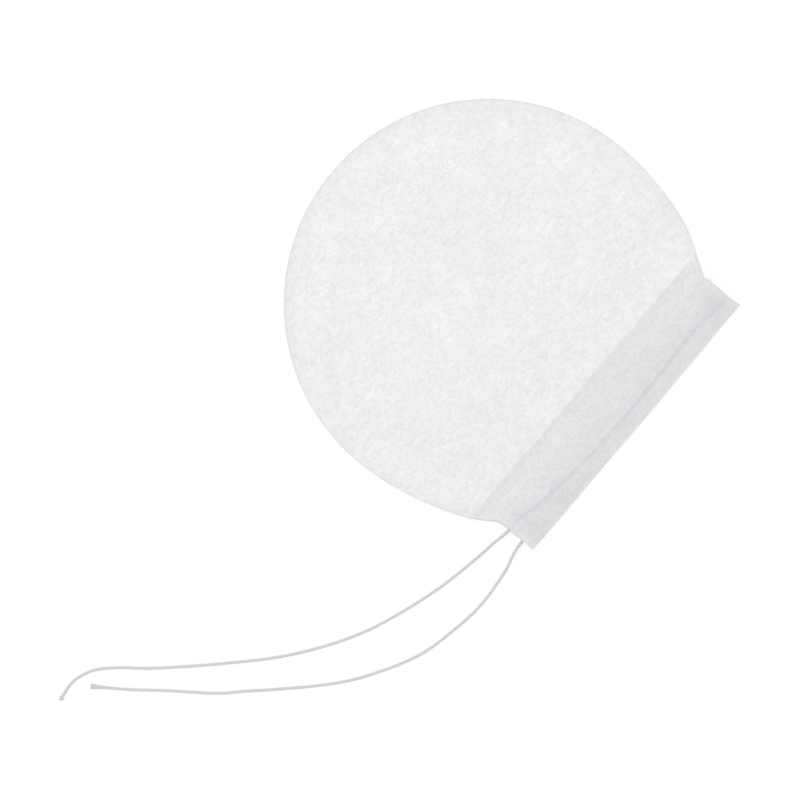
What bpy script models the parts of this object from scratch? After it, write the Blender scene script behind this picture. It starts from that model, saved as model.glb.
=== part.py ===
"""Round drawstring tea filter bag, empty, lying flat on its back panel.

Two equal sheets of filter paper lie on each other and are heat-sealed round the rim. The straight top
edge of each sheet is folded inward into a hem, and one string runs through both hems: it turns back
inside the far end, and its two ends leave at the near end as loose tails.

Metres, +Z up. X runs along the hem and +Y points to it. The origin is under the middle of the bag.
A "depth" is a distance down the bag from its top edge.
"""
import math

import bpy

# Outline of the bag
HEM_LENGTH = 0.0665         # straight top edge, end to end
NECK_DEPTH = 0.0092         # where the straight ends of the hem meet the round body
NECK_WIDTH = 0.0660         # the bag's width there
WIDEST_DEPTH = 0.0400       # where the bag is widest, and the round bottom starts
BODY_RADIUS = 0.0425        # the round bottom

# Paper, hem and seal
PAPER = 0.0001              # thickness of the filter paper
HEM_DEPTH = 0.0140          # how far the folded flap reaches down
HEM_AIR = 0.0002            # air between the flap and its panel, away from the string
TACK_AIR = 0.00005          # the same where the flap's lower edge is tacked down
TACK_WIDTH = 0.0015         # the tacked stretch
SEAL_WIDTH = 0.0018         # heat-sealed band round the rim
PUFF = 0.0014               # how far the middle of the front panel stands off the sealed rim
PUFF_RUN = 0.0150           # the slope from the seal up to that height
HEM_EASE = 0.0050           # below the hem the front panel comes down to the body over this length

# Drawstring
STRING_DIAMETER = 0.00065
CLEARANCE = 0.0002          # air between the string and the paper, and between the two panels
BULGE_REACH = 0.0018        # how soon the paper lies flat again beside the string
LOOP_INSET = 0.0017         # from the hem's far end to the outside of the string's turn
LOOP_RADIUS = 0.0013        # radius of that turn
LOOP_LEVEL = 0.0043         # depth of the turn's centre
LOOP_ROOM = 0.0020          # the flaps are scooped out this far past the turn's centre
LOOP_BLEND = 0.0060         # the hem widens for the turn over this length
SPLIT_INSET = 0.0030        # the held string ends, and the tails start, this far inside the hem
SPLIT_GAP = 0.0003          # gap between them

# The held string's route, from the near end to the turn: (share of the bag's half width, share of
# the hem's depth)
FRONT_HEM_ROUTE = [(1.0, 0.486), (0.91, 0.471), (0.81, 0.414), (0.69, 0.364), (0.56, 0.321),
                   (0.33, 0.264), (0.10, 0.236), (-0.12, 0.257), (-0.41, 0.286), (-0.70, 0.293),
                   (-0.83, 0.257)]
BACK_HEM_ROUTE = [(1.0, 0.229), (0.91, 0.236), (0.70, 0.243), (0.45, 0.250), (0.20, 0.264),
                  (-0.05, 0.286), (-0.30, 0.314), (-0.55, 0.343), (-0.75, 0.379), (-0.83, 0.393)]

# The tails' routes from the hem's near end: (distance past that end, depth, height as a share of the
# drop from the hem's mouth to the surface that the bag lies on)
FRONT_TAIL_ROUTE = [(0.0000, 0.0068, 1.00), (0.0022, 0.0071, 0.75), (0.0048, 0.0076, 0.30),
                    (0.0072, 0.0079, 0.08), (0.0100, 0.0084, 0.00), (0.0138, 0.0091, 0.00),
                    (0.0190, 0.0103, 0.00), (0.0270, 0.0128, 0.00), (0.0350, 0.0160, 0.00),
                    (0.0430, 0.0206, 0.00), (0.0510, 0.0266, 0.00), (0.0580, 0.0332, 0.00),
                    (0.0645, 0.0398, 0.00), (0.0702, 0.0460, 0.00), (0.0742, 0.0510, 0.00),
                    (0.0782, 0.0547, 0.00), (0.0826, 0.0562, 0.00), (0.0870, 0.0557, 0.00)]
BACK_TAIL_ROUTE = [(0.0000, 0.0032, 1.00), (0.0020, 0.0031, 0.60), (0.0042, 0.0027, 0.15),
                   (0.0070, 0.0020, 0.00), (0.0130, 0.0014, 0.00), (0.0182, 0.0015, 0.00),
                   (0.0237, 0.0024, 0.00), (0.0303, 0.0039, 0.00), (0.0358, 0.0063, 0.00),
                   (0.0408, 0.0092, 0.00), (0.0455, 0.0124, 0.00), (0.0504, 0.0167, 0.00),
                   (0.0558, 0.0221, 0.00), (0.0610, 0.0276, 0.00), (0.0651, 0.0319, 0.00),
                   (0.0713, 0.0402, 0.00), (0.0760, 0.0462, 0.00), (0.0806, 0.0528, 0.00)]

# Fineness of the meshes
COLUMNS = 18                # faces across the bag
HEM_ROW = 0.00066           # spacing of the rows in the hem, close enough for the string's bulge
BODY_ROWS = 7               # rows from the hem down to the widest level
BOTTOM_ROWS = 12            # rows from there to the bottom
FOLD_STEPS = 4              # faces round the hem's fold
TAIL_STEP = 0.0019          # spacing of the points along a string
TABLE_LIFT = 0.00002        # the tails stay this far clear of the surface under the bag

STRING_RADIUS = STRING_DIAMETER / 2
STRING_ROOM = STRING_DIAMETER + 2 * CLEARANCE
BULGE_FLAT = STRING_RADIUS + CLEARANCE + 0.5 * HEM_ROW
TOTAL_DEPTH = WIDEST_DEPTH + BODY_RADIUS
TOP_Y = (TOTAL_DEPTH - PAPER / 2) / 2


def half_width(depth):
    """Half the bag's width at a depth: straight hem ends, shoulder arcs and a round bottom."""
    if depth <= NECK_DEPTH:
        return (HEM_LENGTH + (NECK_WIDTH - HEM_LENGTH) * depth / NECK_DEPTH) / 2
    if depth <= WIDEST_DEPTH:
        rise = WIDEST_DEPTH - NECK_DEPTH
        inset = BODY_RADIUS - NECK_WIDTH / 2
        radius = (rise ** 2 + inset ** 2) / (2 * inset)
        side = math.sqrt(radius ** 2 - (WIDEST_DEPTH - depth) ** 2)
        return BODY_RADIUS - radius + math.copysign(side, radius)
    return math.sqrt(max(BODY_RADIUS ** 2 - (depth - WIDEST_DEPTH) ** 2, 0.0))


def rim_distance(x, depth):
    """How far a point lies inside the rim."""
    if depth <= WIDEST_DEPTH:
        return half_width(depth) - abs(x)
    return BODY_RADIUS - math.hypot(x, depth - WIDEST_DEPTH)


def ease(t):
    """0 to 1, smooth at both ends."""
    t = min(max(t, 0.0), 1.0)
    return t * t * (3 - 2 * t)


def smooth_curve(points, step):
    """Points along a smooth curve through the given points, about one step apart."""
    curve = []
    for i in range(len(points) - 1):
        before = points[max(i - 1, 0)]
        start, end = points[i], points[i + 1]
        after = points[min(i + 2, len(points) - 1)]
        pieces = max(1, round(math.dist(start, end) / step))
        for k in range(pieces):
            t = k / pieces
            curve.append(tuple(
                b + 0.5 * t * (c - a + t * (2 * a - 5 * b + 4 * c - d + t * (3 * b - a - 3 * c + d)))
                for a, b, c, d in zip(before, start, end, after)))
    curve.append(tuple(points[-1]))
    return curve


def hem_plan(route):
    """The held string's plan, as (x, depth) points."""
    points = [(across_share, down_share * HEM_DEPTH) for across_share, down_share in route]
    return smooth_curve([(share * half_width(depth), depth) for share, depth in points], TAIL_STEP)


FRONT_PLAN = hem_plan(FRONT_HEM_ROUTE)
BACK_PLAN = hem_plan(BACK_HEM_ROUTE)
LOOP_CENTRE = LOOP_INSET + LOOP_RADIUS + STRING_RADIUS - half_width(LOOP_LEVEL)


def string_depth(plan, x):
    """Depth of a held strand at x: the plan's points run from the near end to the far end."""
    for (x0, depth0), (x1, depth1) in zip(plan, plan[1:]):
        if x1 <= x <= x0:
            return depth0 + (depth1 - depth0) * (x0 - x) / (x0 - x1)
    return plan[0][1] if x > plan[0][0] else plan[-1][1]


def bulge(distance):
    """Share of the string's room that the paper gives at a distance beside the string."""
    return 1 - ease((abs(distance) - BULGE_FLAT) / BULGE_REACH)


def hem_air(depth, rise):
    """Air between a flap and its panel, where the string lifts the paper by a share of its room."""
    tacked = ease((depth - HEM_DEPTH + TACK_WIDTH) / (TACK_WIDTH / 2))
    flat = HEM_AIR + (TACK_AIR - HEM_AIR) * tacked
    return flat + (STRING_ROOM - flat) * rise


def back_rise(x, depth):
    """How much the back strand lifts the paper over it."""
    return bulge(depth - string_depth(BACK_PLAN, x))


def front_rise(x, depth):
    """How much the front strand lifts the paper, the turn at the far end included."""
    strand = bulge(depth - string_depth(FRONT_PLAN, x))
    near_turn = 1 - ease((x - LOOP_CENTRE) / LOOP_BLEND)
    past_turn = max(abs(depth - LOOP_LEVEL) - LOOP_RADIUS, 0.0)
    return max(strand, near_turn * bulge(past_turn))


def back_face_height(x, depth):
    """Height of the back panel's own sheet, which lies flat."""
    return PAPER / 2


def back_flap_height(x, depth):
    """Height of the back hem's flap, over the back strand."""
    return back_face_height(x, depth) + PAPER + hem_air(depth, back_rise(x, depth))


def front_flap_height(x, depth):
    """Height of the front hem's flap, on the back flap."""
    return back_flap_height(x, depth) + PAPER + CLEARANCE


def front_face_height(x, depth):
    """Height of the front panel's own sheet: over its strand in the hem, puffed in the body."""
    if depth <= HEM_DEPTH:
        return front_flap_height(x, depth) + PAPER + hem_air(depth, front_rise(x, depth))
    rim = back_face_height(x, depth) + PAPER + CLEARANCE
    hem = front_flap_height(x, HEM_DEPTH) + PAPER + TACK_AIR
    below_hem = ease((depth - HEM_DEPTH) / HEM_EASE)
    puffed = PUFF * ease((rim_distance(x, depth) - SEAL_WIDTH) / PUFF_RUN)
    return hem + (rim + puffed - hem) * below_hem


def spaced(start, end, count):
    """Values after start up to end, in equal steps."""
    return [start + (end - start) * i / count for i in range(1, count + 1)]


def hem_rows(fold_radius):
    """Depths of the rows in a hem, from the fold down, with one on the neck."""
    upper = spaced(fold_radius, NECK_DEPTH, round((NECK_DEPTH - fold_radius) / HEM_ROW))
    tack = HEM_DEPTH - TACK_WIDTH
    lower = spaced(NECK_DEPTH, tack, 2) + spaced(tack, HEM_DEPTH, 2)
    return [fold_radius] + upper + lower


def body_rows():
    """Depths of the rows below the hem: even down to the widest level, then round the bottom."""
    rows = [HEM_DEPTH + (WIDEST_DEPTH - HEM_DEPTH) * (i / BODY_ROWS) ** 1.3 for i in range(1, BODY_ROWS + 1)]
    for i in range(1, BOTTOM_ROWS + 1):
        rows.append(WIDEST_DEPTH + BODY_RADIUS * math.sin(math.pi / 2 * i / BOTTOM_ROWS))
    return rows


def across(depth, left_inset=0.0):
    """The x values across a row: the outermost face on each side is the sealed band."""
    half = half_width(depth)
    band = min(SEAL_WIDTH, 0.4 * half)
    inner = [(half - band) * (2 * i / (COLUMNS - 2) - 1) for i in range(COLUMNS - 1)]
    row = [-half] + inner + [half]
    return [half - (half - x) * (2 * half - left_inset) / (2 * half) for x in row]


def flap_scoop(depth):
    """How far a flap is cut back at its far end, where the string turns round it."""
    past_turn = abs(depth - LOOP_LEVEL) - LOOP_RADIUS - STRING_RADIUS - CLEARANCE
    reach = half_width(LOOP_LEVEL) + LOOP_CENTRE + LOOP_ROOM
    return reach * (1 - ease(past_turn / (LOOP_LEVEL / 2)))


def panel(name, face_height, flap_height, face_hem_rows, material):
    """One sheet of paper with its hem: from the flap's free edge round the fold to the bottom."""
    fold_radius = (PAPER + HEM_AIR) / 2
    rows = []
    for depth in reversed(hem_rows(fold_radius)):
        row = across(depth, flap_scoop(depth))
        rows.append([(x, TOP_Y - depth, flap_height(x, depth)) for x in row])
    for i in range(1, FOLD_STEPS):
        turn = math.pi * i / FOLD_STEPS
        row = []
        for x in across(fold_radius):
            low, high = flap_height(x, fold_radius), face_height(x, fold_radius)
            height = (low + high) / 2 - (high - low) / 2 * math.cos(turn)
            row.append((x, TOP_Y - fold_radius * (1 - math.sin(turn)), height))
        rows.append(row)
    for depth in face_hem_rows + body_rows()[:-1]:
        rows.append([(x, TOP_Y - depth, face_height(x, depth)) for x in across(depth)])

    vertices = [point for row in rows for point in row]
    faces = []
    for r in range(len(rows) - 1):
        for c in range(COLUMNS):
            first = r * (COLUMNS + 1) + c
            faces.append((first, first + 1, first + COLUMNS + 2, first + COLUMNS + 1))
    last_row = (len(rows) - 1) * (COLUMNS + 1)
    bottom = len(vertices)
    vertices.append((0.0, TOP_Y - TOTAL_DEPTH, face_height(0.0, TOTAL_DEPTH)))
    for c in range(COLUMNS):
        faces.append((last_row + c, last_row + c + 1, bottom))

    mesh = bpy.data.meshes.new(name)
    mesh.from_pydata(vertices, [], faces)
    mesh.validate()
    mesh.materials.append(material)
    sheet = bpy.data.objects.new(name, mesh)
    bpy.context.collection.objects.link(sheet)
    wall = sheet.modifiers.new("paper thickness", "SOLIDIFY")
    wall.thickness = PAPER
    wall.offset = 0.0
    wall.use_even_offset = True
    mesh.shade_smooth()
    return sheet


def string(name, points, material):
    """A length of the string: a round tube with closed ends along the points."""
    curve = bpy.data.curves.new(name, "CURVE")
    curve.dimensions = "3D"
    curve.bevel_depth = STRING_RADIUS
    curve.bevel_resolution = 2
    curve.use_fill_caps = True
    spline = curve.splines.new("POLY")
    spline.points.add(len(points) - 1)
    for spline_point, point in zip(spline.points, points):
        spline_point.co = (*point, 1.0)
    curve.materials.append(material)
    tube = bpy.data.objects.new(name, curve)
    bpy.context.collection.objects.link(tube)
    return tube


def back_strand_height(x, depth):
    """Height of the string's centre in the back hem."""
    return back_face_height(x, depth) + PAPER / 2 + CLEARANCE + STRING_RADIUS


def front_strand_height(x, depth):
    """Height of the string's centre in the front hem."""
    return front_flap_height(x, depth) + PAPER / 2 + CLEARANCE + STRING_RADIUS


def held_string_points():
    """Along the front hem to its far end, round the turn and back along the back hem."""
    near_end = half_width(LOOP_LEVEL) - SPLIT_INSET - SPLIT_GAP
    front = [(x, depth) for x, depth in FRONT_PLAN if LOOP_CENTRE + LOOP_RADIUS < x < near_end]
    back = [(x, depth) for x, depth in BACK_PLAN if LOOP_CENTRE + LOOP_RADIUS < x < near_end]
    front.insert(0, (near_end, string_depth(FRONT_PLAN, near_end)))
    back.insert(0, (near_end, string_depth(BACK_PLAN, near_end)))
    points = [(x, depth, front_strand_height(x, depth)) for x, depth in front]
    high = front_strand_height(LOOP_CENTRE, LOOP_LEVEL - LOOP_RADIUS)
    low = back_strand_height(LOOP_CENTRE, LOOP_LEVEL + LOOP_RADIUS)
    steps = 8
    for i in range(steps + 1):
        turn = math.pi * i / steps
        x = LOOP_CENTRE - LOOP_RADIUS * math.sin(turn)
        depth = LOOP_LEVEL - LOOP_RADIUS * math.cos(turn)
        points.append((x, depth, high + (low - high) * ease(i / steps)))
    points += [(x, depth, back_strand_height(x, depth)) for x, depth in reversed(back)]
    return [(x, TOP_Y - depth, height) for x, depth, height in points]


def tail_points(route, plan, strand_height):
    """From inside the hem's mouth down to the surface under the bag, and along it."""
    start_x = half_width(LOOP_LEVEL) - SPLIT_INSET
    start_depth = string_depth(plan, start_x)
    mouth_x = half_width(route[0][1])
    mouth_height = strand_height(mouth_x, route[0][1])
    lying = STRING_RADIUS + TABLE_LIFT
    points = [(start_x, TOP_Y - start_depth, strand_height(start_x, start_depth))]
    for past_end, depth, share in route:
        points.append((mouth_x + past_end, TOP_Y - depth, lying + (mouth_height - lying) * share))
    return smooth_curve(points, TAIL_STEP)


def finish(name, colour, roughness):
    """A plain Principled material."""
    material = bpy.data.materials.new(name)
    material.use_nodes = True
    shader = material.node_tree.nodes["Principled BSDF"]
    shader.inputs["Base Color"].default_value = (*colour, 1.0)
    shader.inputs["Roughness"].default_value = roughness
    shader.inputs["Metallic"].default_value = 0.0
    return material


def build():
    """Clear the scene and make the bag."""
    for old in list(bpy.data.objects):
        bpy.data.objects.remove(old, do_unlink=True)
    front_paper = finish("front paper", (0.86, 0.86, 0.87), 0.9)
    back_paper = finish("back paper", (0.82, 0.82, 0.83), 0.9)
    held_cotton = finish("held string", (0.80, 0.79, 0.76), 0.85)
    front_cotton = finish("front tail string", (0.80, 0.79, 0.76), 0.85)
    back_cotton = finish("back tail string", (0.78, 0.77, 0.74), 0.85)

    fold_radius = (PAPER + HEM_AIR) / 2
    fine_rows = hem_rows(fold_radius)
    flat_rows = [fold_radius, NECK_DEPTH / 2, NECK_DEPTH, HEM_DEPTH]
    panel("back_panel", back_face_height, back_flap_height, flat_rows, back_paper)
    panel("front_panel", front_face_height, front_flap_height, fine_rows, front_paper)
    string("drawstring_hem_loop", held_string_points(), held_cotton)
    front_tail = tail_points(FRONT_TAIL_ROUTE, FRONT_PLAN, front_strand_height)
    string("drawstring_tail_front", front_tail, front_cotton)
    back_tail = tail_points(BACK_TAIL_ROUTE, BACK_PLAN, back_strand_height)
    string("drawstring_tail_back", back_tail, back_cotton)


build()
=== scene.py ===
"""The look of an empty round drawstring tea filter bag, lying flat on a white table.

Two sheets of heat-sealed filter paper, each folded inward into a hem along the straight mouth, and one
cotton string that runs through both hems. Metres, +Z up. X runs along the hem and +Y points to it, and
a "depth" is a distance down the bag from its top edge.
"""
import math

import bpy
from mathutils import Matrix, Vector, noise


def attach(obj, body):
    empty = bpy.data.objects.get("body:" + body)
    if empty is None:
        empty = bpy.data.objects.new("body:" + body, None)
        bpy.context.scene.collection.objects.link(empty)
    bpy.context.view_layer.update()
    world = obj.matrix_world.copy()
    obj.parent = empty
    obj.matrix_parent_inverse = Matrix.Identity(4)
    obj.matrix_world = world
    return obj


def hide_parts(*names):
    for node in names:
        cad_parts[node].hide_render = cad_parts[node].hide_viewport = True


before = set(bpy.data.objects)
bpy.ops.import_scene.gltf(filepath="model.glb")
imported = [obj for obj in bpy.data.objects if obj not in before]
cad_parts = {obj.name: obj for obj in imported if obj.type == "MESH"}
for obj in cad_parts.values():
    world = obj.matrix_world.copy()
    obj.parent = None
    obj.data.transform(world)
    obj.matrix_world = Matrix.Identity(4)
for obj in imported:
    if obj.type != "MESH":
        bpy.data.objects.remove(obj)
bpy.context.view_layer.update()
bpy.ops.object.select_all(action="DESELECT")

MM = 0.001

# Outline of the bag, as in the part
HEM_LENGTH = 0.0665
NECK_DEPTH = 0.0092
NECK_WIDTH = 0.0660
WIDEST_DEPTH = 0.0400
BODY_RADIUS = 0.0425
TOTAL_DEPTH = WIDEST_DEPTH + BODY_RADIUS

# Paper and hem. The layers lie closer together than the part's clearances let its solids lie.
PAPER = 0.0001              # room for one sheet
SHEET_THICKNESS = 0.8 * PAPER
HEM_DEPTH = 0.0140
TOP_Y = (TOTAL_DEPTH - PAPER / 2) / 2
HEM_AIR = 0.00008           # air between a flap and its panel, away from the string
TACK_AIR = 0.00001          # the same where the flap's lower edge is tacked down
TACK_WIDTH = 0.0015
SEAL_WIDTH = 0.0018         # heat-sealed band round the rim
SEAL_AIR = 0.00001
PUFF = 0.0012               # how far the middle of the front panel stands off the sealed rim
PUFF_RUN = 0.0150           # the slope from the seal up to that height
PUFF_EASE = 0.0160          # the puff starts this gently below the hem
HEM_EASE = 0.0050           # below the hem the front panel comes down to the body over this length
HEM_STEP = 0.00006          # the body's surface lies this much lower straight below the flap's edge,
HEM_STEP_RUN = 0.0004       # within this length
CLEARANCE = 0.00003         # air between the string and the paper
FOLD_RADIUS = (PAPER + HEM_AIR) / 2

# Drawstring
STRING_DIAMETER = 0.00065
STRING_RADIUS = STRING_DIAMETER / 2
STRING_ROOM = STRING_DIAMETER + 2 * CLEARANCE
LOOP_INSET = 0.0017         # from the hem's far end to the outside of the string's turn
LOOP_RADIUS = 0.0013        # radius of that turn
LOOP_LEVEL = 0.0043         # depth of the turn's centre
LOOP_ROOM = 0.0020          # the flaps are scooped out this far past the turn's centre
LOOP_BLEND = 0.0060         # the hem widens for the turn over this length
LOOP_STEPS = 8
SPLIT_INSET = 0.0030        # the held string ends, and the tails start, this far inside the hem
SPLIT_GAP = 0.0003
TABLE_LIFT = 0.00002        # the tails lie this far clear of the table

# How the paper stands over the string like a tent
TENT_BELOW = 0.0062         # it comes down to the flap's edge over this length
TENT_ROUNDING = 0.006       # rounds the ridge
TENT_TOP = 0.05             # flattens the ridge
TENT_STRAIGHT = 0.6         # share of straight slope, the rest eases out at both ends

# The string's plies and cut ends
PLIES = 3
PLY_PITCH = 0.0022          # length of a full turn of the plies
PLY_SIDES = 18              # points round the string
PLY_STEP = 0.00016          # spacing of its rings
PLY_FLOOR = 0.85            # radius in the grooves between the plies, as a share of the string's
PLY_ROUNDNESS = 0.7
TIP_SWELL = 0.50            # a cut end swells by this share,
TIP_SWELL_AT = 0.0005       # this far from its tip,
TIP_SWELL_RUN = 0.00048     # over this length
TIP_OPENING = {"front": 0.10, "back": 0.40}     # and its plies loosen by this share,
TIP_OPEN_RUN = 0.0045       # over this length
TIP_ROUNDING = 0.0003       # the tip is rounded over this length,
TIP_END = 0.02              # to this share of the radius
# Painted shade: on a swollen cut end the grooves' painted shade spreads over the whole string
SWOLLEN_FROM = 1.3          # past this swelling the grooves spread,
SWOLLEN_SHADE = 1.1         # this fast, until the plies no longer show
PATH_EVERY = 6              # rings for each point of the path that thread returns

# The string's routes: in the hems as shares of the half width and of the hem's depth, and outside them as
# (past the hem's end, depth, share of the way up to the hem's mouth). They are the part's, except that the
# front run in the hem lies up to about 0.3 mm beside the part's, along the line that shows in the paper.
FRONT_HEM_ROUTE = [(1.0, 0.496), (0.91, 0.482), (0.81, 0.425), (0.69, 0.378), (0.56, 0.332),
                   (0.33, 0.275), (0.10, 0.258), (-0.12, 0.251), (-0.41, 0.266), (-0.70, 0.281),
                   (-0.83, 0.237)]
BACK_HEM_ROUTE = [(1.0, 0.229), (0.91, 0.236), (0.70, 0.243), (0.45, 0.250), (0.20, 0.264),
                  (-0.05, 0.286), (-0.30, 0.314), (-0.55, 0.343), (-0.75, 0.379), (-0.83, 0.393)]
FRONT_TAIL_ROUTE = [(0.0000, 0.0068, 1.00), (0.0022, 0.0071, 0.75), (0.0048, 0.0076, 0.30),
                    (0.0072, 0.0079, 0.08), (0.0100, 0.0084, 0.00), (0.0138, 0.0091, 0.00),
                    (0.0190, 0.0103, 0.00), (0.0270, 0.0128, 0.00), (0.0350, 0.0160, 0.00),
                    (0.0430, 0.0206, 0.00), (0.0510, 0.0266, 0.00), (0.0580, 0.0332, 0.00),
                    (0.0645, 0.0398, 0.00), (0.0702, 0.0460, 0.00), (0.0742, 0.0510, 0.00),
                    (0.0782, 0.0547, 0.00), (0.0826, 0.0562, 0.00), (0.0870, 0.0557, 0.00)]
BACK_TAIL_ROUTE = [(0.0000, 0.0032, 1.00), (0.0020, 0.0031, 0.60), (0.0042, 0.0027, 0.15),
                   (0.0070, 0.0020, 0.00), (0.0130, 0.0014, 0.00), (0.0182, 0.0015, 0.00),
                   (0.0237, 0.0024, 0.00), (0.0303, 0.0039, 0.00), (0.0358, 0.0063, 0.00),
                   (0.0408, 0.0092, 0.00), (0.0455, 0.0124, 0.00), (0.0504, 0.0167, 0.00),
                   (0.0558, 0.0221, 0.00), (0.0610, 0.0276, 0.00), (0.0651, 0.0319, 0.00),
                   (0.0713, 0.0402, 0.00), (0.0760, 0.0462, 0.00), (0.0806, 0.0528, 0.00)]
ROUTE_STEP = 0.0019         # spacing of the points along a route

# The ends were cut a little unevenly. How far they stand outside the plain outline: (depth, metres)
NEAR_END = [(0.0, 0.0001), (0.0040, 0.0001), (0.0050, 0.00025), (0.0062, 0.0003), (0.0070, 0.0002),
            (0.0080, 0.00035), (0.0092, 0.0005), (0.0100, 0.0002), (0.0125, 0.00038), (0.0145, 0.0005),
            (0.0200, 0.0002), (0.0270, 0.0)]
FAR_END = [(0.0, -0.0001), (0.0010, -0.00025), (0.0025, -0.0004), (0.0040, -0.0004), (0.0060, -0.0003),
           (0.0080, -0.0001), (0.0092, -0.00035), (0.0110, -0.0003), (0.0130, -0.0003), (0.0140, -0.00012),
           (0.0152, -0.00003), (0.0175, 0.0003), (0.0200, 0.0003), (0.0240, 0.0002), (0.0300, 0.0)]
TORN_FADE = 0.004           # fibres stick out of the cut ends, and no longer this far below the hem

# The hem was folded a little out of square. How far its fold lies below a straight top edge: (x, metres).
# Its flap reaches deeper towards the string's end.
TOP_LINE = [(-0.0335, -0.00010), (-0.0120, -0.00008), (0.0, 0.0), (0.0110, 0.00017), (0.0220, 0.00025),
            (0.0290, 0.00030), (0.0335, 0.00042)]
TOP_LINE_FADE = 0.006       # depth at which the body no longer follows the fold
FLAP_EXTRA = 0.0001
FLAP_SLANT = 0.00045

# Waves of smooth noise: (height or share, length, seed)
TORN_ENDS = (0.00006, 0.0009, 2)
FLAP_EDGE_WAVE = (0.00008, 0.006, 3)
TOP_EDGE_WAVE = (0.00005, 0.009, 4)
TABLE_WAVE = (0.5, 0.021, 5)
FINE_CREASES = (0.000035, 0.0009, 6)
BROAD_CREASES = (0.00003, 0.0022, 7)
HEM_WAVE = (0.00004, 0.007, 8)
BODY_WAVE = (0.00015, 0.013, 9)
BODY_DIMPLES = (0.00005, 0.0045, 10)
SEAL_PATCHES = (0.5, 0.0022, 11)
STRING_LUMPS = (0.06, 0.0023, 12)
STRING_FUZZ = (0.04, 0.0007, 13)
UNEVEN_TWIST = (0.15, 0.006, 14)
FINE_CREASE_STRETCH = 0.10  # creases run along the hem, so their noise is stretched along it
BROAD_CREASE_STRETCH = 0.3
SEED_SPACING = 7.31         # each seed takes another layer of the noise

# The bag stands off the table by this much at most: all over the body, and less under the hem's far part.
# Each pair says where a rise starts and where it is full.
LIFT = 0.00032
LIFT_BODY = (0.016, 0.028)
LIFT_HEM = 0.35
LIFT_HEM_X = (0.024, 0.012)
LIFT_HEM_DEPTH = (0.018, 0.014)

# The hem's open end gapes a little over its mouth
GAPE = 0.00016
GAPE_X = (0.0295, 0.0330)
GAPE_DEPTH = (0.0105, 0.0065)
HEM_FLAT_EDGE = 0.002       # creases and gape die out this far from the fold and the flap's edge
BODY_FLAT_EDGE = 0.006      # waves of the body die out this far from the seal

# Painted shade: the hem is darker where less light comes up through its four plies, by this share, more where
# they lie close together beside the string, where it also stands in for the shade of the paper's slope, and
# at the ends, less where light gets in at a fold or an edge. Bands along the hem are (depth, width, change),
# and patches are (change, rise along the hem, rise down the hem).
PAINTED_HEM_SHADE = 0.72
HEM_SHADE_BANDS = [(0.0, 0.0004, -0.10), (0.0052, 0.0012, 0.18), (0.0111, 0.0016, -0.23),
             (HEM_DEPTH, 0.0003, -0.14)]
HEM_END_SHADE = (0.22, (0.024, 0.032), (0.0105, 0.0065))
HEM_CORNER_SHADE = (0.10, (0.010, 0.025), (0.0048, 0.0038))
# painted shadow straight below the flap's edge
SHADOW_UNDER_HEM = 0.13            # share of that shade straight below the flap's edge,
UNDER_HEM_RUN = 0.0015      # which fades over this length
STRING_BLUR = 0.00042       # half width of the string's painted shadow
SEAL_SHADE = 0.65           # share of the sealed band's shade at the rim,
SEAL_SHADE_RUN = 0.0028     # which fades over this length

# A painted shadow line runs along the cut edge, wider and stronger at the shoulders below the hem's ends, of
# which 1 is the end where the string leaves
EDGE_SHADOW_WIDTH = 0.00035
EDGE_SHADOW_STRENGTH = 0.5
SHOULDER_SHADOW_WIDTH = 0.0002
SHOULDER_SHADOW_STRENGTH = {1: 0.5, -1: 0.15}
SHOULDER_X = (0.030, 0.033)
SHOULDER_TOP = (0.0065, 0.0085)
SHOULDER_FOOT = (0.0165, 0.0135)

# The camera looks straight down, turned so that the hem runs as it does in the picture
LENS = 85.0                 # mm
SENSOR = 36.0               # mm
VIEW_WIDTH = 0.166          # how much of the table the view takes in
VIEW_CENTRE = (0.0271, -0.0002)
VIEW_TURN = 129.77          # degrees

camera_data = bpy.data.cameras.new("camera")
camera_data.lens = LENS
camera_data.sensor_width = SENSOR
camera_data.clip_start = 0.01
camera = bpy.data.objects.new("camera", camera_data)
camera.location = (*VIEW_CENTRE, VIEW_WIDTH * LENS / SENSOR)
camera.rotation_euler = (0.0, 0.0, math.radians(VIEW_TURN))
bpy.context.collection.objects.link(camera)
bpy.context.scene.camera = camera


# Small helpers

def ease(t):
    """0 to 1, smooth at both ends."""
    t = min(max(t, 0.0), 1.0)
    return t * t * (3 - 2 * t)


def ramp(value, start, full):
    """0 at start to 1 at full, smooth at both ends."""
    return ease((value - start) / (full - start))


def value_at(points, at):
    """Straight-line lookup in a list of (place, value)."""
    for (x0, y0), (x1, y1) in zip(points, points[1:]):
        if at <= x1:
            return y0 + (y1 - y0) * max(at - x0, 0.0) / (x1 - x0)
    return points[-1][1]


def wave(x, y, kind):
    """Smooth noise of one of the kinds named above."""
    height, length, seed = kind
    return height * noise.noise(Vector((x / length, y / length, seed * SEED_SPACING)))


def smooth_curve(points, step):
    """Points along a smooth curve through the given points, about one step apart."""
    curve = []
    for i in range(len(points) - 1):
        before = points[max(i - 1, 0)]
        start, end = points[i], points[i + 1]
        after = points[min(i + 2, len(points) - 1)]
        pieces = max(1, round(math.dist(start, end) / step))
        for k in range(pieces):
            t = k / pieces
            curve.append(tuple(
                b + 0.5 * t * (c - a + t * (2 * a - 5 * b + 4 * c - d + t * (3 * b - a - 3 * c + d)))
                for a, b, c, d in zip(before, start, end, after)))
    curve.append(tuple(points[-1]))
    return curve


# Outline

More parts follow.
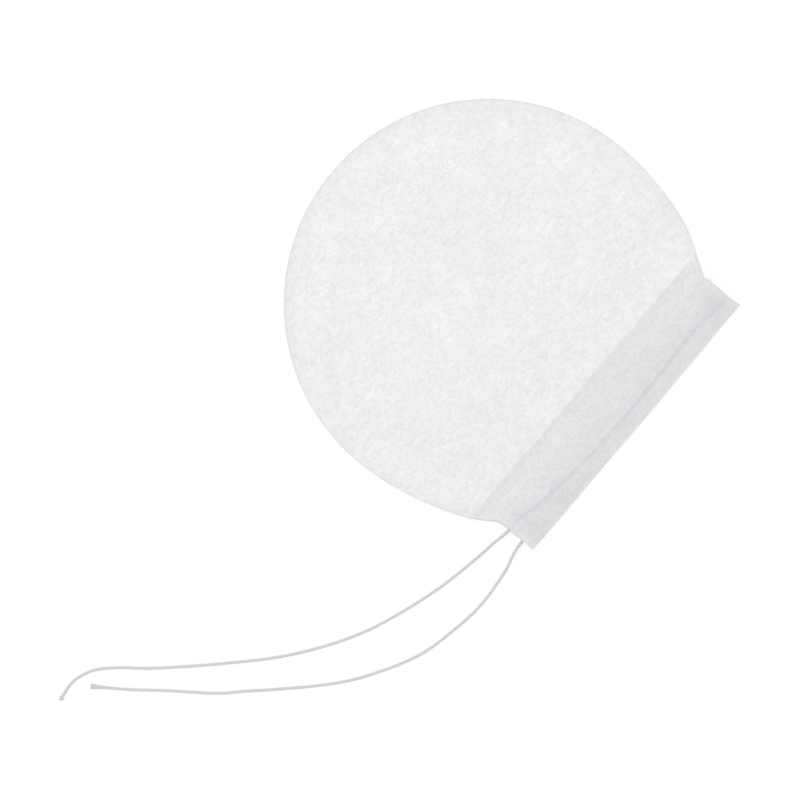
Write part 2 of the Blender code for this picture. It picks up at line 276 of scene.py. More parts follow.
def half_width(depth):
    """Half the bag's width: straight hem ends, shoulder arcs and a round bottom."""
    if depth <= NECK_DEPTH:
        return (HEM_LENGTH + (NECK_WIDTH - HEM_LENGTH) * depth / NECK_DEPTH) / 2
    if depth <= WIDEST_DEPTH:
        rise = WIDEST_DEPTH - NECK_DEPTH
        inset = BODY_RADIUS - NECK_WIDTH / 2
        radius = (rise ** 2 + inset ** 2) / (2 * inset)
        return BODY_RADIUS - radius + math.sqrt(radius ** 2 - (WIDEST_DEPTH - depth) ** 2)
    return math.sqrt(max(BODY_RADIUS ** 2 - (depth - WIDEST_DEPTH) ** 2, 0.0))


def rim_distance(x, depth):
    """How far a point lies inside the rim."""
    if depth <= WIDEST_DEPTH:
        return half_width(depth) - abs(x)
    return BODY_RADIUS - math.hypot(x, depth - WIDEST_DEPTH)


def side_x(side, depth):
    """The bag's edge on one side, 1 for the end where the string leaves and -1 for the far end."""
    ragged = value_at(NEAR_END if side > 0 else FAR_END, depth)
    torn = wave(depth, side, TORN_ENDS) * (1 - ramp(depth, HEM_DEPTH, HEM_DEPTH + TORN_FADE))
    return side * (half_width(depth) + ragged + torn)


def edge_distance(x, depth):
    """How far a point lies inside the cut edge, with its uneven ends."""
    if depth >= WIDEST_DEPTH:
        return rim_distance(x, depth)
    side = 1 if x > 0 else -1
    return side * side_x(side, depth) - abs(x)


def flap_depth(x):
    """Depth of the flap's lower edge: the hem is a little deeper towards the string's end."""
    return HEM_DEPTH + FLAP_EXTRA + FLAP_SLANT * x / (HEM_LENGTH / 2) + wave(x, 0, FLAP_EDGE_WAVE)


def top_dip(x, depth):
    """The folded top edge isn't quite straight."""
    return (value_at(TOP_LINE, x) + wave(x, 0, TOP_EDGE_WAVE)) * (1 - ease(depth / TOP_LINE_FADE))


# Heights of the paper, from the bottom sheet up

def hem_plan(route):
    """A held strand's plan, as (x, depth) points from the near end to the far end."""
    points = [(across * half_width(down * HEM_DEPTH), down * HEM_DEPTH) for across, down in route]
    return smooth_curve(points, ROUTE_STEP)


FRONT_PLAN = hem_plan(FRONT_HEM_ROUTE)
BACK_PLAN = hem_plan(BACK_HEM_ROUTE)
LOOP_CENTRE = LOOP_INSET + LOOP_RADIUS + STRING_RADIUS - half_width(LOOP_LEVEL)


def string_depth(plan, x):
    """Depth of a held strand at x."""
    for (x0, depth0), (x1, depth1) in zip(plan, plan[1:]):
        if x1 <= x <= x0:
            return depth0 + (depth1 - depth0) * (x0 - x) / (x0 - x1)
    return plan[0][1] if x > plan[0][0] else plan[-1][1]


def tent(depth, ridge):
    """How much a string under the paper lifts it: highest over the string, and down to the folds."""
    offset = depth - ridge
    reach = TENT_BELOW if offset > 0 else ridge
    slope = max(0.0, 1 + TENT_TOP - math.sqrt((offset / reach) ** 2 + TENT_ROUNDING))
    return min(1.0, TENT_STRAIGHT * slope + (1 - TENT_STRAIGHT) * ease(slope))


def hem_air(depth, rise):
    """Air between a flap and its panel, where the string lifts the paper by a share of its room."""
    tacked = ramp(depth, HEM_DEPTH - TACK_WIDTH, HEM_DEPTH - TACK_WIDTH / 2)
    flat = HEM_AIR + (TACK_AIR - HEM_AIR) * tacked
    return flat + (STRING_ROOM - flat) * rise


def front_rise(x, depth):
    """How much the front strand and its turn at the far end lift the front panel."""
    near_turn = 1 - ramp(x, LOOP_CENTRE, LOOP_CENTRE + LOOP_BLEND)
    return max(tent(depth, string_depth(FRONT_PLAN, x)), near_turn * tent(depth, LOOP_LEVEL))


def lift(x, depth):
    """The whole bag stands off the table a little, in long soft waves, but not at its open end."""
    loose = ramp(depth, *LIFT_BODY) + LIFT_HEM * ramp(x, *LIFT_HEM_X) * ramp(depth, *LIFT_HEM_DEPTH)
    return LIFT * min(loose, 1.0) * (0.5 + wave(x, depth, TABLE_WAVE))


def back_face_height(x, depth):
    """The back panel's own sheet."""
    return PAPER / 2 + lift(x, depth)


def back_flap_height(x, depth):
    """The back hem's flap, over the back strand."""
    return back_face_height(x, depth) + PAPER + hem_air(depth, tent(depth, string_depth(BACK_PLAN, x)))


def front_flap_height(x, depth):
    """The front hem's flap, on the back flap."""
    return back_flap_height(x, depth) + PAPER + CLEARANCE


def hem_wrinkles(x, depth):
    """Fine creases along the hem, and a loose wave across it."""
    inside = ease(depth / HEM_FLAT_EDGE) * ease((flap_depth(x) - depth) / HEM_FLAT_EDGE)
    creases = (wave(x * FINE_CREASE_STRETCH, depth, FINE_CREASES)
               + wave(x * BROAD_CREASE_STRETCH, depth, BROAD_CREASES))
    return inside * (creases + wave(x, depth, HEM_WAVE))


def front_face_height(x, depth):
    """The front panel's own sheet: over its strand in the hem, puffed in the body."""
    edge = flap_depth(x)
    if depth <= edge:
        over_hem = front_flap_height(x, depth) + PAPER + hem_air(depth, front_rise(x, depth))
        gape = GAPE * ramp(x, *GAPE_X) * ramp(depth, *GAPE_DEPTH) * ease(depth / HEM_FLAT_EDGE)
        return over_hem + hem_wrinkles(x, depth) + gape
    rim = back_face_height(x, depth) + PAPER + SEAL_AIR
    hem = front_flap_height(x, edge) + PAPER + TACK_AIR
    inside = rim_distance(x, depth)
    puffed = PUFF * ease((inside - SEAL_WIDTH) / PUFF_RUN) * ease((depth - edge) / PUFF_EASE)
    soft = ease((inside - SEAL_WIDTH) / BODY_FLAT_EDGE)
    puffed += soft * (wave(x, depth, BODY_WAVE) + wave(x, depth, BODY_DIMPLES))
    step = HEM_STEP * ease((depth - edge) / HEM_STEP_RUN)
    return hem - step + (rim + puffed - hem + step) * ease((depth - edge) / HEM_EASE)


# The two sheets

HALF_COLUMNS = 66
EDGE_CROWDING = 1.3         # columns stand closer together towards the edges,
RIM_CROWDING = 1.2          # and rows towards the bottom
FLAP_ROWS = 30
FOLD_STEPS = 8
FACE_ROWS = 64
BODY_ROWS = 108
SIDE_SAMPLES = 200
ARC_SAMPLES = 300
BOTTOM_TURN = math.radians(50)  # the bottom row's ends, as an angle from straight down
EDGE_CRISP = 0.0001         # gap between the hem's last row and the body's first, which keeps the edge crisp
SMOOTH_BELOW = math.radians(50)

COLUMNS = 2 * HALF_COLUMNS
ACROSS = []
for i in range(-HALF_COLUMNS, HALF_COLUMNS + 1):
    share = i / HALF_COLUMNS
    ACROSS.append(math.copysign(1 - (1 - abs(share)) ** EDGE_CROWDING, share))


def rim_line(side, count):
    """Points down one side of the body, from the hem to where the bottom row ends, with their shares."""
    fine = []
    start = flap_depth(side * half_width(HEM_DEPTH)) + EDGE_CRISP
    for i in range(SIDE_SAMPLES):
        depth = start + (WIDEST_DEPTH - start) * i / SIDE_SAMPLES
        fine.append((side_x(side, depth), depth))
    for i in range(ARC_SAMPLES + 1):
        turn = math.pi / 2 - (math.pi / 2 - BOTTOM_TURN) * i / ARC_SAMPLES
        fine.append((side * BODY_RADIUS * math.sin(turn), WIDEST_DEPTH + BODY_RADIUS * math.cos(turn)))
    lengths = [0.0]
    for a, b in zip(fine, fine[1:]):
        lengths.append(lengths[-1] + math.dist(a, b))
    across = list(zip(lengths, [p[0] for p in fine]))
    down = list(zip(lengths, [p[1] for p in fine]))
    line = []
    for i in range(count + 1):
        share = 1 - (1 - i / count) ** RIM_CROWDING
        line.append((value_at(across, share * lengths[-1]), value_at(down, share * lengths[-1]), share))
    return line


def body_grid():
    """(x, depth) rows from just below the hem to the bottom, stretched between the four edges."""
    left, right = rim_line(-1, BODY_ROWS), rim_line(1, BODY_ROWS)
    grid = []
    for (lx, ld, v), (rx, rd, _) in zip(left, right):
        row = []
        for u in ACROSS:
            s = (u + 1) / 2
            top_x = left[0][0] + (right[0][0] - left[0][0]) * s
            top = (top_x, flap_depth(top_x) + EDGE_CRISP)
            turn = BOTTOM_TURN * u
            low = (BODY_RADIUS * math.sin(turn), WIDEST_DEPTH + BODY_RADIUS * math.cos(turn))
            point = []
            for k in range(2):
                sides = (1 - s) * (lx, ld)[k] + s * (rx, rd)[k]
                ends = (1 - v) * top[k] + v * low[k]
                corners = ((1 - s) * ((1 - v) * left[0][k] + v * left[-1][k])
                           + s * ((1 - v) * right[0][k] + v * right[-1][k]))
                point.append(sides + ends - corners)
            row.append(tuple(point))
        grid.append(row)
    return grid


BODY = body_grid()


def hem_line(v, cut=0.0):
    """(x, depth) points across the hem, at a share of the way from the fold to the flap's edge."""
    ends = []
    for side in (-1, 1):
        lowest = flap_depth(side * half_width(HEM_DEPTH))
        ends.append(side_x(side, FOLD_RADIUS + v * (lowest - FOLD_RADIUS)))
    left, right = ends[0] + cut, ends[1]
    line = []
    for u in ACROSS:
        x = left + (right - left) * (u + 1) / 2
        depth = FOLD_RADIUS + v * (flap_depth(x) - FOLD_RADIUS)
        line.append((x, depth))
    return line


def flap_cut(v):
    """How far a flap is cut back at its far end, where the string turns round it."""
    depth = FOLD_RADIUS + v * (HEM_DEPTH - FOLD_RADIUS)
    past_turn = abs(depth - LOOP_LEVEL) - LOOP_RADIUS - STRING_RADIUS - CLEARANCE
    reach = half_width(LOOP_LEVEL) + LOOP_CENTRE + LOOP_ROOM
    return reach * (1 - ease(past_turn / (LOOP_LEVEL / 2)))


def place(x, depth, height):
    """A point of the bag from its plan and height."""
    return (x, TOP_Y - depth - top_dip(x, depth), height)


def shades(x, depth, v, plan):
    """Marks painted in the paper: the plies' painted shade, the string's painted shadow under them, the
    sealed rim and a painted shadow line at the cut edge.
    """
    if v is None:
        # painted shadow just below the flap's edge
        plies, string = SHADOW_UNDER_HEM * math.exp((flap_depth(x) - depth) / UNDER_HEM_RUN), 0.0
    else:
        # painted shade: the hem darker where less light comes through its plies
        plies = PAINTED_HEM_SHADE
        for middle, width, change in HEM_SHADE_BANDS:
            plies += change * math.exp(-((v * HEM_DEPTH - middle) / width) ** 2)
        for at, (change, along, down) in ((abs(x), HEM_END_SHADE), (x, HEM_CORNER_SHADE)):
            plies += change * ramp(at, *along) * ramp(depth, *down)
        # painted shadow of the string under the paper
        beside = (depth - string_depth(plan, x)) / STRING_BLUR
        string = math.exp(-beside * beside)
    rim = max(0.0, 1 - rim_distance(x, depth) / SEAL_SHADE_RUN)
    sealed = rim * (SEAL_SHADE + wave(x, depth, SEAL_PATCHES))
    # painted shadow line along the cut edge, stronger at the shoulders
    shoulder = ramp(abs(x), *SHOULDER_X) * ramp(depth, *SHOULDER_TOP) * ramp(depth, *SHOULDER_FOOT)
    line = max(0.0, 1 - edge_distance(x, depth) / (EDGE_SHADOW_WIDTH + SHOULDER_SHADOW_WIDTH * shoulder))
    cut_edge = line * (EDGE_SHADOW_STRENGTH + SHOULDER_SHADOW_STRENGTH[1 if x > 0 else -1] * shoulder)
    return plies, string, min(1.0, max(0.0, sealed)), cut_edge


def paper_sheet(name, face_height, flap_height, plan):
    """One sheet: from the flap's free edge round the fold, down the hem's face and to the bottom."""
    points, marks = [], []
    for i in range(FLAP_ROWS, -1, -1):
        v = i / FLAP_ROWS
        for x, depth in hem_line(v, flap_cut(v)):
            points.append(place(x, depth, flap_height(x, depth)))
            marks.append(shades(x, depth, v, plan))
    for i in range(1, FOLD_STEPS):
        turn = math.pi * i / FOLD_STEPS
        for x, depth in hem_line(0.0):
            low, high = flap_height(x, depth), face_height(x, depth)
            height = (low + high) / 2 - (high - low) / 2 * math.cos(turn)
            points.append(place(x, FOLD_RADIUS * (1 - math.sin(turn)), height))
            marks.append(shades(x, depth, 0.0, plan))
    for i in range(FACE_ROWS + 1):
        v = i / FACE_ROWS
        for x, depth in hem_line(v):
            points.append(place(x, depth, face_height(x, depth)))
            marks.append(shades(x, depth, v, plan))
    for row in BODY:
        for x, depth in row:
            points.append(place(x, depth, face_height(x, depth)))
            marks.append(shades(x, depth, None, plan))

    faces = []
    for r in range(len(points) // (COLUMNS + 1) - 1):
        for c in range(COLUMNS):
            first = r * (COLUMNS + 1) + c
            faces.append((first, first + 1, first + COLUMNS + 2, first + COLUMNS + 1))
    mesh = bpy.data.meshes.new(name)
    mesh.from_pydata(points, [], faces)
    for k, mark in enumerate(("plies", "string_under", "sealed", "cut_edge")):
        layer = mesh.attributes.new(mark, "FLOAT", "POINT")
        layer.data.foreach_set("value", [m[k] for m in marks])
    sheet = bpy.data.objects.new(name, mesh)
    bpy.context.collection.objects.link(sheet)

    bpy.context.view_layer.objects.active = sheet
    sheet.select_set(True)
    wall = sheet.modifiers.new("paper thickness", "SOLIDIFY")
    wall.thickness = SHEET_THICKNESS
    wall.offset = 0.0
    bpy.ops.object.modifier_apply(modifier=wall.name)
    bpy.ops.object.shade_smooth_by_angle(angle=SMOOTH_BELOW)
    sheet.select_set(False)
    return sheet


# The string

def strand_height(flap_top, x, depth):
    """Height of the string's centre on the sheet below it."""
    return flap_top(x, depth) + PAPER / 2 + CLEARANCE + STRING_RADIUS


def held_string_points():
    """Along the front hem to its far end, round the turn and back along the back hem."""
    near_end = half_width(LOOP_LEVEL) - SPLIT_INSET - SPLIT_GAP
    inner = LOOP_CENTRE + LOOP_RADIUS
    runs = []
    for plan, flap_top in ((FRONT_PLAN, front_flap_height), (BACK_PLAN, back_face_height)):
        run = [(near_end, string_depth(plan, near_end))] + [p for p in plan if inner < p[0] < near_end]
        runs.append([(x, depth, strand_height(flap_top, x, depth)) for x, depth in run])
    high = strand_height(front_flap_height, LOOP_CENTRE, LOOP_LEVEL - LOOP_RADIUS)
    low = strand_height(back_face_height, LOOP_CENTRE, LOOP_LEVEL + LOOP_RADIUS)
    turn_points = []
    for i in range(LOOP_STEPS + 1):
        turn = math.pi * i / LOOP_STEPS
        turn_points.append((LOOP_CENTRE - LOOP_RADIUS * math.sin(turn),
                            LOOP_LEVEL - LOOP_RADIUS * math.cos(turn),
                            high + (low - high) * ease(i / LOOP_STEPS)))
    whole = runs[0] + turn_points + runs[1][::-1]
    return [(x, TOP_Y - depth, height) for x, depth, height in whole]


def tail_points(route, plan, flap_top):
    """From inside the hem's mouth down to the table and along it."""
    start_x = half_width(LOOP_LEVEL) - SPLIT_INSET
    start_depth = string_depth(plan, start_x)
    mouth_x = half_width(route[0][1])
    mouth_height = strand_height(flap_top, mouth_x, route[0][1])
    lying = STRING_RADIUS + TABLE_LIFT
    points = [(start_x, TOP_Y - start_depth, strand_height(flap_top, start_x, start_depth))]
    for past_end, depth, share in route:
        points.append((mouth_x + past_end, TOP_Y - depth, lying + (mouth_height - lying) * share))
    return points


def thread(name, route, seed, tips):
    """Twisted plies along a route. tips says how far the cut ends have opened: (start, end)."""
    path = [Vector(p) for p in smooth_curve(smooth_curve(route, ROUTE_STEP), PLY_STEP)]
    lengths = [0.0]
    for a, b in zip(path, path[1:]):
        lengths.append(lengths[-1] + (b - a).length)
    total = lengths[-1]
    points, grooves, alongs, arounds = [], [], [], []
    for i, (centre, at) in enumerate(zip(path, lengths)):
        along = (path[min(i + 1, len(path) - 1)] - path[max(i - 1, 0)]).normalized()
        side = Vector((0, 0, 1)).cross(along).normalized()
        up = along.cross(side)
        swell, rounding = 1.0, 1.0
        for opened, gone in ((tips[0], at), (tips[1], total - at)):
            if opened:
                swell += TIP_SWELL * math.exp(-((gone - TIP_SWELL_AT) / TIP_SWELL_RUN) ** 2)
                swell += opened * (1 - ease(gone / TIP_OPEN_RUN))
            rounding = min(rounding, math.sqrt(max(0.0, 1 - max(0.0, 1 - gone / TIP_ROUNDING) ** 2)))
        swell *= 1 + wave(at, seed, STRING_LUMPS) + wave(at, seed, STRING_FUZZ)
        radius = STRING_RADIUS * swell
        centre = centre + up * max(0.0, radius - STRING_RADIUS)
        twist = 2 * math.pi * (at / PLY_PITCH + wave(at, seed, UNEVEN_TWIST))
        for k in range(PLY_SIDES):
            angle = 2 * math.pi * k / PLY_SIDES
            lobe = 0.5 + 0.5 * math.cos(PLIES * (angle - twist))
            shape = PLY_FLOOR + (1 - PLY_FLOOR) * lobe ** PLY_ROUNDNESS
            reach = radius * shape * max(rounding, TIP_END)
            points.append(centre + side * (reach * math.cos(angle)) + up * (reach * math.sin(angle)))
            # painted shade: 1 in the grooves between the plies, and over all of a swollen cut end
            grooves.append(max(1 - lobe, min(1.0, SWOLLEN_SHADE * (swell - SWOLLEN_FROM))))
            alongs.append(at)
            arounds.append(angle)
    faces = []
    for i in range(len(path) - 1):
        for k in range(PLY_SIDES):
            a, b = i * PLY_SIDES + k, i * PLY_SIDES + (k + 1) % PLY_SIDES
            faces.append((a, b, b + PLY_SIDES, a + PLY_SIDES))
    faces.append(tuple(range(PLY_SIDES - 1, -1, -1)))
    faces.append(tuple(range(len(points) - PLY_SIDES, len(points))))
    mesh = bpy.data.meshes.new(name)
    mesh.from_pydata(points, [], faces)
    for mark, values in (("groove", grooves), ("along", alongs), ("around", arounds)):
        layer = mesh.attributes.new(mark, "FLOAT", "POINT")
        layer.data.foreach_set("value", values)
    mesh.shade_smooth()
    cord = bpy.data.objects.new(name, mesh)
    bpy.context.collection.objects.link(cord)
    return cord, [tuple(p) for p in path[::PATH_EVERY] + [path[-1]]]


# Materials

TWO_PLIES = "#EEEEF0"
# the hem's painted shade, where less light comes through four plies
HEM_SHADE_COLOUR = "#DBDBDE"
# the string's painted shadow through the paper
STRING_SHADE = "#CFCFD3"
STRING_SHADOW_SHOWS = 0.67         # how strongly the string's painted shadow shows through the paper
SEALED_BAND = "#E7E7EA"
# painted shadow line along the cut edge
EDGE_SHADOW_COLOUR = "#CFCFD3"
STRING_PLY = "#E0E0E0"
# painted shade in the string's grooves
STRING_GROOVE_SHADE = "#C0C0C0"

CLOUD = 0.75 * MM           # pulp clouds,
CLOUD_GROUP = 1.8 * MM      # loose groups of them,
PATCH = 7 * MM              # and thicker and thinner patches of the sheet
MOTTLE_TWO_PLIES = 0.084
MOTTLE_FOUR_PLIES = 0.071   # more plies even the sheet out
GROUP_SHARE = 0.34          # what adds to the mottle, beside 1 for the clouds
PATCH_SHARE = 0.28
FIBRE_SHARE = 0.55
FIBRE_SPACING = 0.24 * MM
FIBRE_STRETCH = 0.06        # a fibre's width as a share of its length
FIBRE_LINES = (0.60, 0.74)  # a fibre shows where its noise is past the first value, fully past the second
FIBRE_TURNS = (17, 68, 121, 158)    # degrees
FIBRE_BEND = 0.9 * MM       # a fibre wanders by about this much
FIBRE_BEND_LENGTH = 2.5 * MM
PAPER_RELIEF = 0.03 * MM
PAPER_ROUGHNESS = (0.97, 0.86)      # between the clouds and on them, where the pulp is pressed smoother
FLUFF = 0.16 * MM           # loose cotton fibres on the string,
FLECKS = (0.90, 1.10)       # which darken and lighten it by this much
PLY_FIBRES = 9.0            # fibres counted round the string
GROOVE_SHARPNESS = 1.6      # keeps the painted shade to the bottom of the grooves
STRING_RELIEF = 0.03 * MM
STRING_ROUGHNESS = 0.9
CELLULOSE_IOR = 1.47


def linear(colour):
    """A hex sRGB colour in the linear values that Blender takes."""
    values = []
    for i in (1, 3, 5):
        c = int(colour[i:i + 2], 16) / 255
        values.append(c / 12.92 if c <= 0.04045 else ((c + 0.055) / 1.055) ** 2.4)
    return (*values, 1.0)


def add(tree, kind, settings=None, inputs=None):
    """Add a node with its settings. An input that is a socket is linked, any other is set."""
    made = tree.nodes.new("ShaderNode" + kind)
    for name, value in (settings or {}).items():
        setattr(made, name, value)
    for name, value in (inputs or {}).items():
        if isinstance(value, bpy.types.NodeSocket):
            tree.links.new(value, made.inputs[name])
        else:
            made.inputs[name].default_value = value
    return made


def new_material(name):
    """An empty material and its node tree."""
    material = bpy.data.materials.new(name)
    material.use_nodes = True
    material.node_tree.nodes.clear()
    return material, material.node_tree


# Heat-seal filter paper, wet-laid from wood pulp, abaca and a little thermoplastic fibre: the pulp
# clouds together in the wet sheet, so the sheet is mottled at a little under a millimetre, with long
# loose fibres in all directions and no gloss. The hem's plies and the string under them are painted in
# as shade and shadow, darker where less light comes through.
def filter_paper():
    material, tree = new_material("heat-seal filter paper")
    place_of = add(tree, "TexCoord").outputs["Object"]
    # The hem's painted shade, the string's painted shadow, the sealed band and the painted shadow line at the
    # cut edge
    plies = add(tree, "Attribute", {"attribute_name": "plies"}).outputs["Fac"]
    string_under = add(tree, "Attribute", {"attribute_name": "string_under"}).outputs["Fac"]
    sealed = add(tree, "Attribute", {"attribute_name": "sealed"}).outputs["Fac"]
    cut_edge = add(tree, "Attribute", {"attribute_name": "cut_edge"}).outputs["Fac"]

    # Pulp clouds, their groups and the sheet's patches
    clouds = add(tree, "TexNoise", {}, {"Vector": place_of, "Scale": 1 / CLOUD, "Detail": 3.0,
                                        "Roughness": 0.62}).outputs["Fac"]
    groups = add(tree, "TexNoise", {}, {"Vector": place_of, "Scale": 1 / CLOUD_GROUP, "Detail": 1.0,
                                        "Roughness": 0.5}).outputs["Fac"]
    patches = add(tree, "TexNoise", {}, {"Vector": place_of, "Scale": 1 / PATCH, "Detail": 2.0,
                                         "Roughness": 0.5}).outputs["Fac"]

    # Fibres: real ones are 0.03 mm thick and 3 mm long, drawn 0.09 mm thick so that they show
    wander = add(tree, "TexNoise", {}, {"Vector": place_of, "Scale": 1 / FIBRE_BEND_LENGTH, "Detail": 1.0})
    bend = add(tree, "VectorMath", {"operation": "SCALE"}, {0: wander.outputs["Color"], "Scale": FIBRE_BEND})
    bent = add(tree, "VectorMath", {"operation": "ADD"}, {0: place_of, 1: bend.outputs[0]}).outputs[0]
    fibres = None
    for turn in FIBRE_TURNS:
        turned = add(tree, "Mapping", {}, {"Vector": bent, "Rotation": (0.0, 0.0, math.radians(turn)),
                                           "Scale": (FIBRE_STRETCH, 1.0, 1.0)}).outputs[0]
        strands = add(tree, "TexNoise", {}, {"Vector": turned, "Scale": 1 / FIBRE_SPACING, "Detail": 1.0})
        lines = add(tree, "MapRange", {}, {"Value": strands.outputs["Fac"], "From Min": FIBRE_LINES[0],
                                           "From Max": FIBRE_LINES[1]}).outputs[0]
        if fibres is None:
            fibres = lines
        else:
            fibres = add(tree, "Math", {"operation": "MAXIMUM"}, {0: fibres, 1: lines}).outputs[0]

    # Mottle: about -1 to 1, from the fibres and the three sizes of cloud
    mottle = add(tree, "Math", {"operation": "MULTIPLY"}, {0: fibres, 1: FIBRE_SHARE}).outputs[0]
    for cloudy, share in ((clouds, 1.0), (groups, GROUP_SHARE), (patches, PATCH_SHARE)):
        part = add(tree, "MapRange", {"clamp": False}, {"Value": cloudy, "From Min": 0.5, "From Max": 0.75,
                                                        "To Min": 0.0, "To Max": share}).outputs[0]
        mottle = add(tree, "Math", {"operation": "ADD"}, {0: mottle, 1: part}).outputs[0]
    strength = add(tree, "MapRange", {}, {"Value": plies, "From Min": 0.0, "From Max": 0.6,
                                          "To Min": MOTTLE_TWO_PLIES, "To Max": MOTTLE_FOUR_PLIES}).outputs[0]
    mottle = add(tree, "Math", {"operation": "MULTIPLY_ADD"}, {0: mottle, 1: strength, 2: 1.0}).outputs[0]

    # Colour: two plies, the painted shade of four plies, the string's painted shadow, the sealed band and the
    # painted shadow line at the cut edge
    string_shadow_part = add(tree, "Math", {"operation": "MULTIPLY"}, {0: string_under, 1: STRING_SHADOW_SHOWS}).outputs[0]
    colour = linear(TWO_PLIES)
    for shade, amount in ((HEM_SHADE_COLOUR, plies), (STRING_SHADE, string_shadow_part), (SEALED_BAND, sealed),
                          (EDGE_SHADOW_COLOUR, cut_edge)):
        colour = add(tree, "Mix", {"data_type": "RGBA"}, {0: amount, 6: colour, 7: linear(shade)}).outputs[2]
    colour = add(tree, "VectorMath", {"operation": "SCALE"}, {0: colour, "Scale": mottle}).outputs[0]

    # Surface: the clouds stand up a hundredth of a millimetre and the fibres less
    height = add(tree, "Math", {"operation": "MULTIPLY_ADD"}, {0: fibres, 1: 0.5, 2: clouds}).outputs[0]
    bump = add(tree, "Bump", {}, {"Height": height, "Strength": 0.3, "Distance": PAPER_RELIEF})
    rough = add(tree, "MapRange", {}, {"Value": clouds, "From Min": 0.3, "From Max": 0.7,
                                       "To Min": PAPER_ROUGHNESS[0],
                                       "To Max": PAPER_ROUGHNESS[1]}).outputs[0]
    shader = add(tree, "BsdfPrincipled", {}, {"Base Color": colour, "Roughness": rough, "IOR": CELLULOSE_IOR,
                                              "Normal": bump.outputs[0]})
    add(tree, "OutputMaterial", {}, {"Surface": shader.outputs[0]})
    return material


# Bleached cotton string, three plies twisted together and unglazed: dull, with painted shade in the grooves
# between the plies, with loose fluff and fine fibres that lean the other way than the plies.
def cotton_string():
    material, tree = new_material("bleached cotton string")
    groove = add(tree, "Attribute", {"attribute_name": "groove"}).outputs["Fac"]
    along = add(tree, "Attribute", {"attribute_name": "along"}).outputs["Fac"]
    around = add(tree, "Attribute", {"attribute_name": "around"}).outputs["Fac"]
    place_of = add(tree, "TexCoord").outputs["Object"]
    fluff = add(tree, "TexNoise", {}, {"Vector": place_of, "Scale": 1 / FLUFF, "Detail": 2.0,
                                       "Roughness": 0.6}).outputs["Fac"]

    # Fine fibres, which turn against the plies
    turned = add(tree, "Math", {"operation": "MULTIPLY_ADD"}, {0: along, 1: 2 * math.pi / PLY_PITCH,
                                                               2: around}).outputs[0]
    fine = add(tree, "Math", {"operation": "MULTIPLY"}, {0: turned, 1: PLY_FIBRES}).outputs[0]
    fine = add(tree, "Math", {"operation": "SINE"}, {0: fine}).outputs[0]

    # Colour and surface
    # painted shade in the grooves and over the swollen cut ends
    dark = add(tree, "Math", {"operation": "POWER"}, {0: groove, 1: GROOVE_SHARPNESS}).outputs[0]
    mix = add(tree, "Mix", {"data_type": "RGBA"}, {0: dark, 6: linear(STRING_PLY), 7: linear(STRING_GROOVE_SHADE)})
    fleck = add(tree, "MapRange", {}, {"Value": fluff, "From Min": 0.25, "From Max": 0.75,
                                       "To Min": FLECKS[0], "To Max": FLECKS[1]}).outputs[0]
    colour = add(tree, "VectorMath", {"operation": "SCALE"}, {0: mix.outputs[2], "Scale": fleck}).outputs[0]
    height = add(tree, "Math", {"operation": "MULTIPLY_ADD"}, {0: fine, 1: 0.2, 2: fluff}).outputs[0]
    bump = add(tree, "Bump", {}, {"Height": height, "Strength": 0.6, "Distance": STRING_RELIEF})
    shader = add(tree, "BsdfPrincipled", {}, {"Base Color": colour, "Roughness": STRING_ROUGHNESS,
                                              "IOR": CELLULOSE_IOR, "Normal": bump.outputs[0]})
    add(tree, "OutputMaterial", {}, {"Surface": shader.outputs[0]})
    return material


PAPER_FINISH = filter_paper()
STRING_FINISH = cotton_string()

back_paper = paper_sheet("back_filter_paper", back_face_height, back_flap_height, BACK_PLAN)
front_paper = paper_sheet("front_filter_paper", front_face_height, front_flap_height, FRONT_PLAN)
for sheet, node, slot in (
        (back_paper, "back_panel", "back_paper"),
        (front_paper, "front_panel", "front_paper")):
    sheet.data.materials.append(PAPER_FINISH)
    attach(sheet, "root")
    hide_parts(node)

held, _ = thread("string_in_hems", held_string_points(), 1, (0.0, 0.0))
held.data.materials.append(STRING_FINISH)
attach(held, "root")
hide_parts("drawstring_hem_loop")

for name, route, plan, flap_top, seed in (
        ("front", FRONT_TAIL_ROUTE, FRONT_PLAN, front_flap_height, 2),
        ("back", BACK_TAIL_ROUTE, BACK_PLAN, back_face_height, 3)):
    route_points = tail_points(route, plan, flap_top)
    tail, path = thread("string_tail_" + name, route_points, seed, (0.0, TIP_OPENING[name]))
    tail.data.materials.append(STRING_FINISH)
    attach(tail, "root")
    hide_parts("drawstring_tail_" + name)


# Table, lamps and world

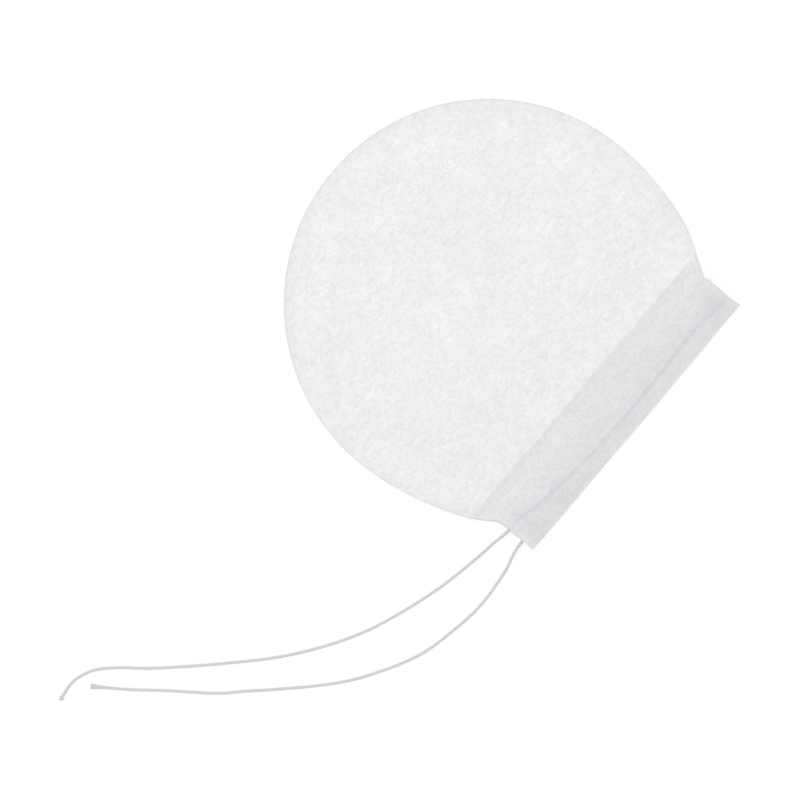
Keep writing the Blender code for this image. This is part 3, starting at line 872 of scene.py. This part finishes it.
TABLE_SIZE = 4.0
TABLE_LEVEL = -0.00002      # just clear of the bag's underside
CAMERA_WHITE = 0.9          # share of plain white in what the camera sees of the table
LAMP_PLACE = Vector((-0.10, -0.55, 1.35))
LAMP_SIZE = 0.9
LAMP_POWER = 5.0            # watts
WORLD_LIGHT = 0.80          # the world is plain white to the camera and lights the bag by this much

bpy.ops.mesh.primitive_plane_add(size=TABLE_SIZE, location=(0.0, 0.0, TABLE_LEVEL))
floor = bpy.context.object
floor.name = "table"
bpy.ops.object.transform_apply(location=True, rotation=False, scale=False)
table_white, tree = new_material("white table")
light_path = add(tree, "LightPath")
seen = add(tree, "Math", {"operation": "MAXIMUM"}, {0: light_path.outputs["Is Camera Ray"],
                                                    1: light_path.outputs["Is Glossy Ray"]}).outputs[0]
seen = add(tree, "Math", {"operation": "MAXIMUM"}, {0: seen,
                                                    1: light_path.outputs["Is Transmission Ray"]}).outputs[0]
share = add(tree, "Math", {"operation": "MULTIPLY"}, {0: seen, 1: CAMERA_WHITE}).outputs[0]
plain = add(tree, "BsdfDiffuse", {}, {"Color": linear("#FFFFFF")}).outputs[0]
white = add(tree, "Emission", {}, {"Color": (1.0, 1.0, 1.0, 1.0), "Strength": 1.0}).outputs[0]
both = add(tree, "MixShader", {}, {0: share, 1: plain, 2: white}).outputs[0]
add(tree, "OutputMaterial", {}, {"Surface": both})
floor.data.materials.append(table_white)

bpy.ops.object.light_add(type="AREA", location=LAMP_PLACE)
lamp = bpy.context.object
lamp.name = "softbox"
lamp.data.shape = "DISK"
lamp.data.size = LAMP_SIZE
lamp.data.energy = LAMP_POWER
lamp.rotation_euler = (-LAMP_PLACE).to_track_quat("-Z", "Y").to_euler()     # aimed at the origin

world = bpy.data.worlds.new("studio")
world.use_nodes = True
world.node_tree.nodes.clear()
light_path = add(world.node_tree, "LightPath")
strength = add(world.node_tree, "MapRange", {}, {"Value": light_path.outputs["Is Camera Ray"],
                                                 "To Min": WORLD_LIGHT, "To Max": 1.0}).outputs[0]
sky = add(world.node_tree, "Background", {}, {"Color": (1.0, 1.0, 1.0, 1.0), "Strength": strength})
add(world.node_tree, "OutputWorld", {}, {"Surface": sky.outputs[0]})
bpy.context.scene.world = world
bpy.context.scene.view_settings.view_transform = "Standard"

bpy.ops.object.select_all(action="DESELECT")
